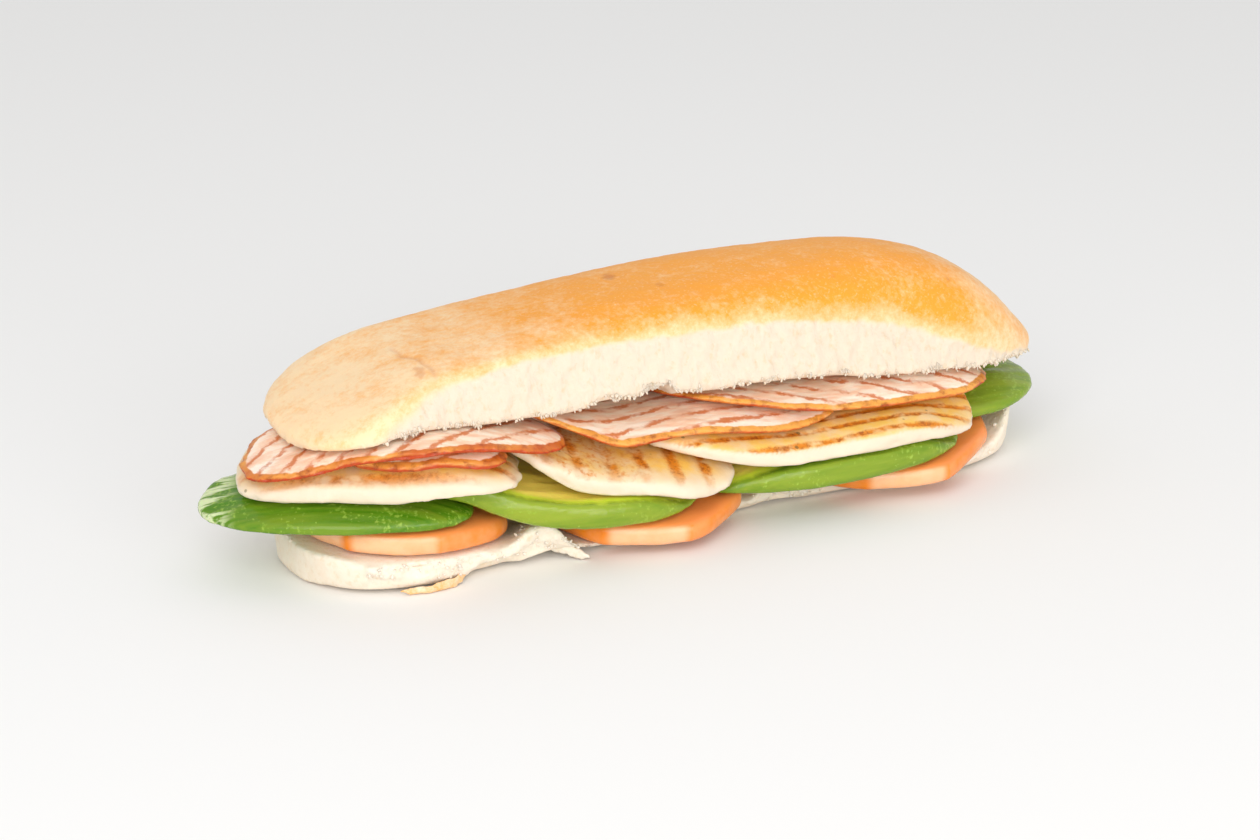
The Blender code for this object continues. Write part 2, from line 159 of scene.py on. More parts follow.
@dataclass(frozen=True)
class Grain:
    """Seeded noise over points in millimetres, the same on each run.

    Attributes:
        seed: Which pattern it is.
        size: The width of one bump along each axis, or along all three.
    """

    seed: int
    size: float | tuple[float, float, float]

    def _hashed(self, cells: Array) -> Array:
        """A number from 0 to 4095 for each cell of the lattice."""
        mixed = cells[..., 0] * 73856093 ^ cells[..., 1] * 19349663 ^ cells[..., 2] * 83492791
        mixed = (mixed ^ self.seed * 2654435761) * 2246822519
        return (mixed >> 15) & 4095

    def at(self, points: Array) -> Array:
        """Smooth bumps and dips.

        Args:
            points: One row for each point.

        Returns:
            A height for each point, mostly between -1 and 1.
        """
        scaled = points / np.array(self.size)
        cell = np.floor(scaled).astype(np.int64)
        part = scaled - cell
        fade = part**3 * (part * (part * 6.0 - 15.0) + 10.0)
        slopes = np.random.default_rng(11).normal(size=(4096, 3))
        slopes /= np.linalg.norm(slopes, axis=1)[:, None]
        total = np.zeros(len(points))
        for corner in product((0, 1), repeat=3):
            weight = np.prod(np.where(corner, fade, 1.0 - fade), axis=1)
            slope = slopes[self._hashed(cell + np.array(corner))]
            total += weight * np.sum(slope * (part - np.array(corner)), axis=1)
        return total * 1.7

    def pits(self, points: Array) -> Array:
        """Scattered round pits.

        Args:
            points: One row for each point.

        Returns:
            For each point 1 in the middle of a pit, falling to 0 half a cell away.
        """
        scaled = points / np.array(self.size)
        cell = np.floor(scaled).astype(np.int64)
        places = np.random.default_rng(12).random((4096, 3))
        nearest = np.full(len(points), 9.0)
        for step in product((-1, 0, 1), repeat=3):
            other = cell + np.array(step)
            middle = other + places[self._hashed(other)]
            nearest = np.minimum(nearest, np.sum((scaled - middle) ** 2, axis=1))
        return smooth(0.55, 0.0, np.sqrt(nearest))


def layered(points: Array, *layers: tuple[int, float | tuple[float, float, float], float]) -> Array:
    """Several grains on top of each other.

    Args:
        points: One row for each point.
        layers: The seed, the size and the depth of each grain.

    Returns:
        Their sum at each point.
    """
    return sum(Grain(seed, size).at(points) * depth for seed, size, depth in layers)


class Face(Enum):
    """The faces of a slice, each with the range of its normals' height."""

    TOP = (0.45, 0.80)
    UNDER = (-0.45, -0.80)


class Skin:
    """The vertices of one piece in millimetres, with what its relief and masks are worked out from."""

    def __init__(self, piece: bpy.types.Object) -> None:
        """Reads the piece's vertices, normals and edges.

        Args:
            piece: A mesh object in place in the row frame.
        """
        mesh = piece.data
        flat = np.empty(len(mesh.vertices) * 3, np.float32)
        mesh.vertices.foreach_get("co", flat)
        self.points = flat.reshape(-1, 3).astype(float) * MM_IN_METRE
        self.piece = piece
        ends = np.empty(len(mesh.edges) * 2, np.int32)
        mesh.edges.foreach_get("vertices", ends)
        self.edges = ends.reshape(-1, 2)
        self.normals = self._read_normals()

    def _read_normals(self) -> Array:
        """The smooth normal at each vertex."""
        flat = np.empty(len(self.points) * 3, np.float32)
        self.piece.data.vertex_normals.foreach_get("vector", flat)
        return flat.reshape(-1, 3).astype(float)

    def share(self, face: Face) -> Array:
        """How much each vertex belongs to a face, from 0 to 1."""
        return smooth(*face.value, self.normals[:, 2])

    def side(self) -> Array:
        """How much each vertex belongs to the side, from 0 to 1."""
        return 1.0 - self.share(Face.TOP) - self.share(Face.UNDER)

    def middle(self) -> Array:
        """The middle of the piece's box."""
        return (self.points.min(axis=0) + self.points.max(axis=0)) / 2

    def distance_to(self, chosen: Array) -> Array:
        """How far each vertex is from the nearest of the chosen ones.

        Args:
            chosen: True for each vertex that is one of them.

        Returns:
            The distances.
        """
        rows = np.flatnonzero(chosen)[::2]
        tree = kdtree.KDTree(len(rows))
        for row in rows:
            tree.insert(self.points[row], int(row))
        tree.balance()
        return np.array([tree.find(point)[2] for point in self.points])

    def ease(self, rounds: int, share: float | Array = 1.0) -> None:
        """Evens out the surface, moving each vertex half way to the average of its neighbours.

        Args:
            rounds: How many times.
            share: How much each vertex takes part, from 0 to 1.
        """
        first, second = self.edges[:, 0], self.edges[:, 1]
        count = len(self.points)
        degree = np.bincount(self.edges.ravel(), minlength=count)
        for _ in range(rounds):
            for axis in range(3):
                place = self.points[:, axis]
                total = np.bincount(first, place[second], count) + np.bincount(second, place[first], count)
                self.points[:, axis] = place + (total / degree - place) * 0.5 * share

    def push(self, amount: Array) -> None:
        """Moves each vertex out along its normal by an amount."""
        self.points += self.normals * np.asarray(amount)[:, None]

    def write(self, masks: dict[str, Array]) -> None:
        """Puts the points back into the mesh and adds the masks as attributes.

        Args:
            masks: For each attribute's name, a number or a vector for each vertex.
        """
        mesh = self.piece.data
        mesh.vertices.foreach_set("co", (self.points / MM_IN_METRE).astype(np.float32).ravel())
        for name, values in masks.items():
            kind, key = ("FLOAT_VECTOR", "vector") if values.ndim == 2 else ("FLOAT", "value")
            attribute = mesh.attributes.new(name, kind, "POINT")
            attribute.data.foreach_set(key, values.astype(np.float32).ravel())
        mesh.update()


def new_piece(name: str, mesh: bpy.types.Mesh) -> bpy.types.Object:
    """An object with a mesh, in the collection of the looks."""
    made = bpy.data.objects.new(name, mesh)
    bpy.data.collections[COLLECTION].objects.link(made)
    return made


def remeshed(node: bpy.types.Object, name: str, cell: float, sharpness: float) -> bpy.types.Object:
    """A rounded copy of a CAD node's solid, in even small faces.

    Args:
        node: The CAD node's object.
        name: The new piece's name.
        cell: The width of one face.
        sharpness: How sharp the knife's edges stay, from 0 to 1.

    Returns:
        The new piece.
    """
    shape = bmesh.new()
    shape.from_mesh(node.data)
    bmesh.ops.remove_doubles(shape, verts=shape.verts, dist=1e-6)
    bmesh.ops.join_triangles(
        shape, faces=shape.faces, angle_face_threshold=math.pi, angle_shape_threshold=math.pi
    )
    creases = shape.edges.layers.float.new("crease_edge")
    for edge in shape.edges:
        edge[creases] = sharpness if edge.calc_face_angle(0.0) > KNIFE_EDGE else 0.0
    coarse = bpy.data.meshes.new(name + "_coarse")
    shape.to_mesh(coarse)
    shape.free()
    guide = new_piece(name + "_guide", coarse)
    rounder = guide.modifiers.new("rounder", "SUBSURF")
    rounder.levels = 2
    finer = guide.modifiers.new("finer", "REMESH")
    finer.mode = "VOXEL"
    finer.voxel_size = cell / MM_IN_METRE
    evaluated = guide.evaluated_get(bpy.context.evaluated_depsgraph_get())
    fine = bpy.data.meshes.new_from_object(evaluated)
    fine.name = name
    bpy.data.objects.remove(guide)
    bpy.data.meshes.remove(coarse)
    fine.materials.clear()
    fine.shade_smooth()
    return new_piece(name, fine)


@dataclass(frozen=True)
class Finish(ABC):
    """A food's surface. Noise scales in it are one over a real size in millimetres.

    Attributes:
        reads: The masks that its patterns read. The mask lay is a place and the others are shares.
    """

    reads: ClassVar[tuple[str, ...]] = ()

    def material(self) -> bpy.types.Material:
        """The finish as a material, made once and then shared.

        Returns:
            The material.
        """
        name = type(self).__name__
        made = bpy.data.materials.get(name)
        if made is None:
            made = bpy.data.materials.new(name)
            made.use_nodes = True
            tree = made.node_tree
            tree.nodes.clear()
            masks = {}
            for mask in self.reads:
                read = add_node(tree, "Attribute", {"attribute_name": mask}, {})
                masks[mask] = read.outputs["Vector" if mask == "lay" else "Fac"]
            shader = add_node(tree, "BsdfPrincipled", {}, self.paint(tree, masks))
            add_node(tree, "OutputMaterial", {}, {"Surface": shader})
        return made

    @abstractmethod
    def paint(self, tree: bpy.types.NodeTree, masks: Masks) -> dict[str, Any]:
        """Adds the patterns, and gives the values and nodes for the shader's inputs."""


def griddle_bars(tree: bpy.types.NodeTree, masks: Masks, spacing: float, width: float) -> bpy.types.Node:
    """The scorched bars that a ridged griddle pan leaves, broken where the food didn't touch a ridge.

    Args:
        tree: The node tree.
        masks: The masks lay, across_bars and grilled, among others.
        spacing: From one ridge to the next.
        width: Of one bar.

    Returns:
        The node that gives 1 where it is scorched and 0 elsewhere.
    """
    # A bar wanders in bumps of about 4.5 mm, and misses the ridge for stretches of about 9 mm.
    lay = masks["lay"]
    ragged, contact = (
        add_node(tree, "TexNoise", {}, {"Vector": lay, "Scale": scale, "Detail": steps, "Roughness": rough})
        for scale, steps, rough in ((0.22, 5.0, 0.75), (0.11, 3.0, 0.6))
    )
    wander = add_node(tree, "MapRange", {}, {0: ragged, 3: -3.0, 4: 3.0})
    strayed = add_node(tree, "Math", SUM, {0: masks["across_bars"], 1: wander})
    off_bar = add_node(tree, "Math", {"operation": "PINGPONG"}, {0: strayed, 1: spacing / 2})
    bar = add_node(tree, "MapRange", SOFT_STEP, {0: off_bar, 1: width * 0.85, 2: width * 0.2})
    touched = add_node(tree, "MapRange", SOFT_STEP, {0: contact, 1: 0.34, 2: 0.52})
    met = add_node(tree, "Math", PRODUCT, {0: bar, 1: touched})
    return add_node(tree, "Math", PRODUCT, {0: met, 1: masks["grilled"]})


@dataclass(frozen=True)
class BatchBakedRoll(Finish):
    """Soft white bread, baked side by side and torn apart.

    The crust is thin, satin and golden where the oven's heat reached it, paler at the left end. The torn
    sides are matt, fibrous white crumb.
    """

    reads: ClassVar[tuple[str, ...]] = ("lay", "crumb", "bake", "scar_and_shade")
    crust_pale: str = "#fbd9ab"
    crust_gold: str = "#f5a12b"
    scar_and_shade_brown: str = "#c26a1e"
    crumb_white: str = "#e4d4bf"
    crumb_shade: str = "#dcc29c"

    def paint(self, tree: bpy.types.NodeTree, masks: Masks) -> dict[str, Any]:
        """Golden crust over white crumb, with their own roughness and relief."""
        lay, crumb = masks["lay"], masks["crumb"]
        # The crust browns in soft patches of about 12 mm with a mottle of 2.4 mm and pale flecks of 0.9 mm,
        # over a skin with bumps of 1.6 mm.
        patches, mottle, flecks, bumps = (
            add_node(
                tree, "TexNoise", {}, {"Vector": lay, "Scale": 1 / size, "Detail": steps, "Roughness": rough}
            )
            for size, steps, rough in ((12, 6.0, 0.62), (2.4, 5.0, 0.75), (0.9, 2.0, 0.5), (1.6, 4.0, 0.5))
        )
        uneven = add_node(tree, "MapRange", {}, {0: patches, 1: 0.3, 2: 0.7, 3: -0.28, 4: 0.28})
        shaded = add_node(tree, "Math", SUM, {0: masks["bake"], 1: uneven})
        speckle = add_node(tree, "MapRange", {}, {0: mottle, 1: 0.3, 2: 0.7, 3: -0.32, 4: 0.32})
        browned = add_node(tree, "Math", CLAMPED_SUM, {0: shaded, 1: speckle})
        gilded = add_node(tree, "Mix", COLOURS, {0: browned, 6: self.crust_pale, 7: self.crust_gold})
        fleck = add_node(tree, "MapRange", {}, {0: flecks, 1: 0.58, 2: 0.76, 3: 0.0, 4: 0.45})
        flecked = add_node(tree, "Mix", COLOURS, {0: fleck, 6: gilded, 7: self.crust_pale})
        # Brown scars, and the painted shade in the crust's crease, are mixed in here.
        crust = add_node(tree, "Mix", COLOURS, {0: masks["scar_and_shade"], 6: flecked, 7: self.scar_and_shade_brown})
        # Crumb tears into tufts about 2 mm wide and a little taller, with small open cells between them,
        # which are painted darker as painted shade.
        upright = add_node(tree, "Mapping", {}, {"Vector": lay, "Scale": (1.0, 1.0, 0.7)})
        fibres = add_node(
            tree, "TexNoise", {}, {"Vector": upright, "Scale": 1 / 2, "Detail": 5.0, "Roughness": 0.65}
        )
        shaded_cell = add_node(tree, "MapRange", {}, {0: fibres, 1: 0.46, 2: 0.26, 3: 0.0, 4: 0.8})
        torn = add_node(tree, "Mix", COLOURS, {0: shaded_cell, 6: self.crumb_white, 7: self.crumb_shade})
        relief = add_node(tree, "Mix", {}, {0: crumb, 2: bumps, 3: fibres})
        depth = add_node(tree, "MapRange", {}, {0: crumb, 3: 0.00022, 4: 0.0005})
        return {
            "Base Color": add_node(tree, "Mix", COLOURS, {0: crumb, 6: crust, 7: torn}),
            "Roughness": add_node(tree, "MapRange", {}, {0: crumb, 3: 0.48, 4: 0.92}),
            "Normal": add_node(tree, "Bump", {}, {"Strength": 0.8, "Distance": depth, "Height": relief}),
            "IOR": 1.45,
            "Subsurface Weight": 0.3,
            "Subsurface Radius": (1.0, 0.85, 0.7),
            "Subsurface Scale": 0.0025,
        }


@dataclass(frozen=True)
class LightenedLowerRoll(BatchBakedRoll):
    """The same bread painted whiter, as painted light on the lower half, which lies in shade under the
    filling: whiter crumb and a paler crust.
    """

    crust_pale: str = "#f6e3c8"
    crumb_white: str = "#f2e6d4"
    crumb_shade: str = "#e6d0ae"


@dataclass(frozen=True)
class RipeTomato(Finish):
    """Fresh tomato, sliced with a knife: wet satin skin on the rim, in flats of deeper and paler orange. The
    paler flats are painted light and highlight, the deeper ones its orange in painted shade.
    """

    reads: ClassVar[tuple[str, ...]] = ("lay", "pale", "cut")
    # The pale skin colour is painted light and highlight on the lit flats.
    skin_deep: str = "#ee8418"
    skin_pale: str = "#fbc091"
    flesh: str = "#f2914c"

    def paint(self, tree: bpy.types.NodeTree, masks: Masks) -> dict[str, Any]:
        """Orange skin, painted paler on the lit flats, and wet flesh on the cut faces."""
        lay = masks["lay"]
        # The skin is clouded over about 7 mm, with bumps of 1.2 mm.
        clouds, fine = (
            add_node(
                tree, "TexNoise", {}, {"Vector": lay, "Scale": 1 / size, "Detail": steps, "Roughness": rough}
            )
            for size, steps, rough in ((7, 4.0, 0.55), (1.2, 3.0, 0.5))
        )
        uneven = add_node(tree, "MapRange", {}, {0: clouds, 1: 0.3, 2: 0.7, 3: -0.16, 4: 0.16})
        share = add_node(tree, "Math", CLAMPED_SUM, {0: masks["pale"], 1: uneven})
        skin = add_node(tree, "Mix", COLOURS, {0: share, 6: self.skin_deep, 7: self.skin_pale})
        return {
            "Base Color": add_node(tree, "Mix", COLOURS, {0: masks["cut"], 6: skin, 7: self.flesh}),
            "Roughness": 0.22,
            "Normal": add_node(tree, "Bump", {}, {"Strength": 0.5, "Distance": 0.00012, "Height": fine}),
            "IOR": 1.38,
            "Subsurface Weight": 0.2,
            "Subsurface Radius": (1.0, 0.45, 0.2),
            "Subsurface Scale": 0.003,
        }


@dataclass(frozen=True)
class FreshCucumber(Finish):
    """Fresh cucumber, sliced lengthwise: glossy ribbed green skin and wet yellow-green flesh."""

    reads: ClassVar[tuple[str, ...]] = ("lay", "flesh", "tip", "light_skin")
    skin_dark: str = "#467c0a"
    skin_light: str = "#93a62e"
    skin_pale: str = "#dfe8b8"
    skin_speck_and_glint: str = "#aecb50"
    flesh_edge: str = "#c8dc3c"
    flesh_core: str = "#f2de66"

    def paint(self, tree: bpy.types.NodeTree, masks: Masks) -> dict[str, Any]:
        """Ribs and specks on the skin, the specks partly painted glints of wet, and flesh that is greener
        towards the skin.
        """
        lay, flesh = masks["lay"], masks["flesh"]
        # Ribs run along the fruit, about 3 mm apart, and are drawn out 20 times as long as they are wide.
        drawn = add_node(tree, "Mapping", {}, {"Vector": lay, "Scale": (0.05, 1.0, 0.6)})
        ribs = add_node(
            tree, "TexNoise", {}, {"Vector": drawn, "Scale": 1 / 3, "Detail": 3.0, "Roughness": 0.6}
        )
        rib = add_node(tree, "MapRange", {}, {0: ribs, 1: 0.36, 2: 0.64, 3: 0.05, 4: 0.5})
        lifted = add_node(tree, "MapRange", {}, {0: masks["light_skin"], 3: 0.0, 4: 0.55})
        green = add_node(tree, "Math", CLAMPED_SUM, {0: rib, 1: lifted})
        skin = add_node(tree, "Mix", COLOURS, {0: green, 6: self.skin_dark, 7: self.skin_light})
        # Pale specks of about a millimetre stand close together in patches of the skin: partly its own pale
        # dots, partly painted glints of wet.
        specks = add_node(tree, "TexNoise", {}, {"Vector": lay, "Scale": 1 / 1.3, "Detail": 3.0})
        gathered = add_node(tree, "TexNoise", {}, {"Vector": lay, "Scale": 1 / 14})
        fewest = add_node(tree, "MapRange", {}, {0: gathered, 1: 0.40, 2: 0.60, 3: 0.70, 4: 0.48})
        speck_and_glint = add_node(tree, "MapRange", {}, {0: specks, 1: fewest, 2: 0.78, 3: 0.0, 4: 0.75})
        dotted = add_node(tree, "Mix", COLOURS, {0: speck_and_glint, 6: skin, 7: self.skin_speck_and_glint})
        streak = add_node(tree, "MapRange", {}, {0: ribs, 1: 0.46, 2: 0.54, 3: 0.0, 4: 0.85})
        streaked = add_node(tree, "Math", PRODUCT, {0: streak, 1: masks["tip"]})
        tipped = add_node(tree, "Mix", COLOURS, {0: streaked, 6: dotted, 7: self.skin_pale})
        core = add_node(tree, "MapRange", {}, {0: flesh, 1: 0.5, 2: 1.0})
        inside = add_node(tree, "Mix", COLOURS, {0: core, 6: self.flesh_edge, 7: self.flesh_core})
        cut = add_node(tree, "MapRange", {}, {0: flesh, 1: 0.1, 2: 0.4})
        beads = add_node(tree, "Mix", {}, {0: 0.4, 2: ribs, 3: specks})
        return {
            "Base Color": add_node(tree, "Mix", COLOURS, {0: cut, 6: tipped, 7: inside}),
            "Roughness": add_node(tree, "MapRange", {}, {0: cut, 3: 0.20, 4: 0.36}),
            "Normal": add_node(tree, "Bump", {}, {"Strength": 0.7, "Distance": 0.0004, "Height": beads}),
            "IOR": 1.40,
            "Subsurface Weight": 0.2,
            "Subsurface Radius": (0.5, 1.0, 0.2),
            "Subsurface Scale": 0.002,
        }


@dataclass(frozen=True)
class GrilledHalloumi(Finish):
    """Halloumi, a firm sheep's cheese, fried on a ridged griddle pan.

    Its cut sides stay cream and smooth. Its top is golden, with broken brown bars, a brown patch that is
    partly fried and partly painted shade under the bacon, and a few flecks of mint.
    """

    reads: ClassVar[tuple[str, ...]] = ("lay", "across_bars", "grilled", "fried_and_shaded")
    cream: str = "#ead8bf"
    golden: str = "#f5c55e"
    amber: str = "#dd8418"
    scorched: str = "#8e3f0c"
    mint: str = "#55562c"

    def paint(self, tree: bpy.types.NodeTree, masks: Masks) -> dict[str, Any]:
        """Cream sides, a golden top, amber bars with scorched middles, an amber patch that is partly painted
        shade, and mint flecks.
        """
        lay = masks["lay"]
        # The top browns in clouds of about 9 mm, with a fried grain of 2.5 mm.
        clouds, fried = (
            add_node(
                tree, "TexNoise", {}, {"Vector": lay, "Scale": 1 / size, "Detail": steps, "Roughness": rough}
            )
            for size, steps, rough in ((9, 5.0, 0.6), (2.5, 4.0, 0.7))
        )
        patch = add_node(tree, "MapRange", {}, {0: clouds, 1: 0.32, 2: 0.60, 3: 0.4, 4: 1.0})
        coloured = add_node(tree, "Math", PRODUCT, {0: patch, 1: masks["grilled"]})
        surface = add_node(tree, "Mix", COLOURS, {0: coloured, 6: self.cream, 7: self.golden})
        bars = griddle_bars(tree, masks, RIDGE_SPACING, width=3.4)
        # The patch is fried brown and also painted darker as the shade under the bacon, in amber over a fried
        # grain.
        crusty = add_node(tree, "MapRange", {}, {0: fried, 1: 0.50, 2: 0.70})
        brown = add_node(tree, "Math", PRODUCT, {0: crusty, 1: masks["fried_and_shaded"]})
        heat = add_node(tree, "Math", {"operation": "MAXIMUM"}, {0: bars, 1: brown})
        amber = add_node(tree, "Mix", COLOURS, {0: heat, 6: surface, 7: self.amber})
        hot = add_node(tree, "MapRange", {}, {0: fried, 1: 0.47, 2: 0.66, 3: 0.0, 4: 0.85})
        burnt = add_node(tree, "Math", PRODUCT, {0: hot, 1: bars})
        charred = add_node(tree, "Mix", COLOURS, {0: burnt, 6: amber, 7: self.scorched})
        # Mint shows as a few flecks, up to 1.5 mm across, where the middle of a 9 mm cell is at the surface.
        leaves = add_node(tree, "TexVoronoi", {}, {"Vector": lay, "Scale": 1 / 9})
        leaf = add_node(tree, "MapRange", {}, {0: leaves, 1: 0.085, 2: 0.06, 3: 0.0, 4: 0.6})
        return {
            "Base Color": add_node(tree, "Mix", COLOURS, {0: leaf, 6: charred, 7: self.mint}),
            "Roughness": add_node(tree, "MapRange", {}, {0: heat, 3: 0.42, 4: 0.58}),
            "Normal": add_node(tree, "Bump", {}, {"Strength": 0.5, "Distance": 0.0004, "Height": fried}),
            "IOR": 1.45,
            "Subsurface Weight": 0.2,
            "Subsurface Radius": (1.0, 0.8, 0.5),
            "Subsurface Scale": 0.003,
        }


@dataclass(frozen=True)
class GrilledBackBacon(Finish):
    """Back bacon, cured pork loin with its rind, grilled on a ridged pan.

    The meat is pale pink with fine grain. Along the edge runs a golden strip of crisp fat over a shining
    red-brown rind.
    """

    reads: ClassVar[tuple[str, ...]] = ("lay", "across_bars", "grilled", "rind", "low")
    meat: str = "#fadcc2"
    meat_deep: str = "#f2b48c"
    fat: str = "#fdebd8"
    gold: str = "#eba548"
    rind: str = "#bd430a"
    rind_dark: str = "#8a3a10"
    scorched: str = "#cc6409"

    def paint(self, tree: bpy.types.NodeTree, masks: Masks) -> dict[str, Any]:
        """Pink grained meat, brown griddle bars and the orange-brown rind."""
        lay = masks["lay"]
        # The grain of the loin shows as soft streaks about 3 mm wide, three times as long.
        drawn = add_node(tree, "Mapping", {}, {"Vector": lay, "Scale": (0.3, 1.0, 1.0)})
        grain = add_node(
            tree, "TexNoise", {}, {"Vector": drawn, "Scale": 0.28, "Detail": 5.0, "Roughness": 0.6}
        )
        pinker = add_node(tree, "MapRange", {}, {0: grain, 1: 0.46, 2: 0.76})
        paler = add_node(tree, "MapRange", {}, {0: grain, 1: 0.52, 2: 0.36})
        meat = add_node(tree, "Mix", COLOURS, {0: pinker, 6: self.meat, 7: self.meat_deep})
        marbled = add_node(tree, "Mix", COLOURS, {0: paler, 6: meat, 7: self.fat})
        bars = griddle_bars(tree, masks, spacing=7.2, width=1.7)
        mark = add_node(tree, "Math", PRODUCT, {0: bars, 1: 0.85})
        seared = add_node(tree, "Mix", COLOURS, {0: mark, 6: marbled, 7: self.scorched})
        # The rind browns in stretches of about 14 mm, where it is also wider, with dark spots of 3.5 mm.
        stretch = add_node(tree, "TexNoise", {}, {"Vector": lay, "Scale": 1 / 14, "Detail": 3.0})
        toned = add_node(tree, "MapRange", {}, {0: stretch, 1: 0.3, 2: 0.7, 3: -0.45, 4: 0.45})
        redder = add_node(tree, "Math", CLAMPED_SUM, {0: masks["low"], 1: toned})
        strip = add_node(tree, "Mix", COLOURS, {0: redder, 6: self.gold, 7: self.rind})
        spots = add_node(
            tree, "TexNoise", {}, {"Vector": lay, "Scale": 1 / 3.5, "Detail": 5.0, "Roughness": 0.7}
        )
        spot = add_node(tree, "MapRange", {}, {0: spots, 1: 0.50, 2: 0.72, 3: 0.0, 4: 0.8})
        edge = add_node(tree, "Mix", COLOURS, {0: spot, 6: strip, 7: self.rind_dark})
        uneven = add_node(tree, "MapRange", {}, {0: stretch, 1: 0.3, 2: 0.7, 3: -0.45, 4: 0.35})
        reach = add_node(tree, "Math", CLAMPED_SUM, {0: masks["rind"], 1: uneven})
        held = add_node(tree, "MapRange", SOFT_STEP, {0: reach, 1: 0.35, 2: 0.7})
        return {
            "Base Color": add_node(tree, "Mix", COLOURS, {0: held, 6: seared, 7: edge}),
            "Roughness": 0.34,
            "Normal": add_node(tree, "Bump", {}, {"Strength": 0.5, "Distance": 0.0004, "Height": grain}),
            "IOR": 1.45,
            "Subsurface Weight": 0.15,
            "Subsurface Radius": (1.0, 0.4, 0.25),
            "Subsurface Scale": 0.002,
        }


@dataclass(frozen=True)
class WhiteSweep(Finish):
    """Matt white card, swept flat: a plain pale ground with no gloss."""

    white: str = "#f4f3f1"

    def paint(self, tree: bpy.types.NodeTree, masks: Masks) -> dict[str, Any]:
        """White, with a mottle of 25 mm too faint to see as a pattern."""
        coords = add_node(tree, "TexCoord", {}, {}).outputs["Object"]
        mottle = add_node(tree, "TexNoise", {}, {"Vector": coords, "Scale": 40.0})
        rough = add_node(tree, "MapRange", {}, {0: mottle, 3: 0.85, 4: 0.95})
        return {"Base Color": self.white, "Roughness": rough, "Specular IOR Level": 0.2}


def set_down(piece: bpy.types.Object, finish: Finish) -> None:
    """Gives a piece its material and its body, and reports it."""
    piece.data.materials.append(finish.material())
    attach(piece, "root")
    LOG.info("%s: %d faces", piece.name, len(piece.data.polygons))


@dataclass
class FoodPiece(ABC):
    """One slice, or one half of the roll, that stands for a CAD node.

    Attributes:
        finish: What its surface is.
        slot: The record's material slot.
        node: The CAD node.
        seed: Which of the seeded patterns it has.
        cell: The width of one face of its fine mesh.
        sharpness: How sharp its knife-cut edges are, from 0 to 1.
    """

    finish: ClassVar[Finish]
    slot: ClassVar[str]
    node: str
    seed: int
    cell: float
    sharpness: float = 0.0

    @abstractmethod
    def masks(self, skin: Skin) -> dict[str, Array]:
        """The masks that its finish reads, from the surface before its relief."""

    @abstractmethod
    def shape(self, skin: Skin) -> None:
        """Gives the even surface the relief of the real food."""

    def build(self, frame: dict[str, Any]) -> Skin:
        """Makes the piece in place of its node.


        Returns:
            The piece's skin, finished.
        """
        piece = remeshed(frame["nodes"][self.node], self.node + "_food", self.cell, self.sharpness)
        skin = Skin(piece)
        skin.ease(2)
        masks = self.masks(skin)
        self.shape(skin)
        skin.write(masks)
        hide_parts(self.node)
        set_down(piece, self.finish)
        return skin


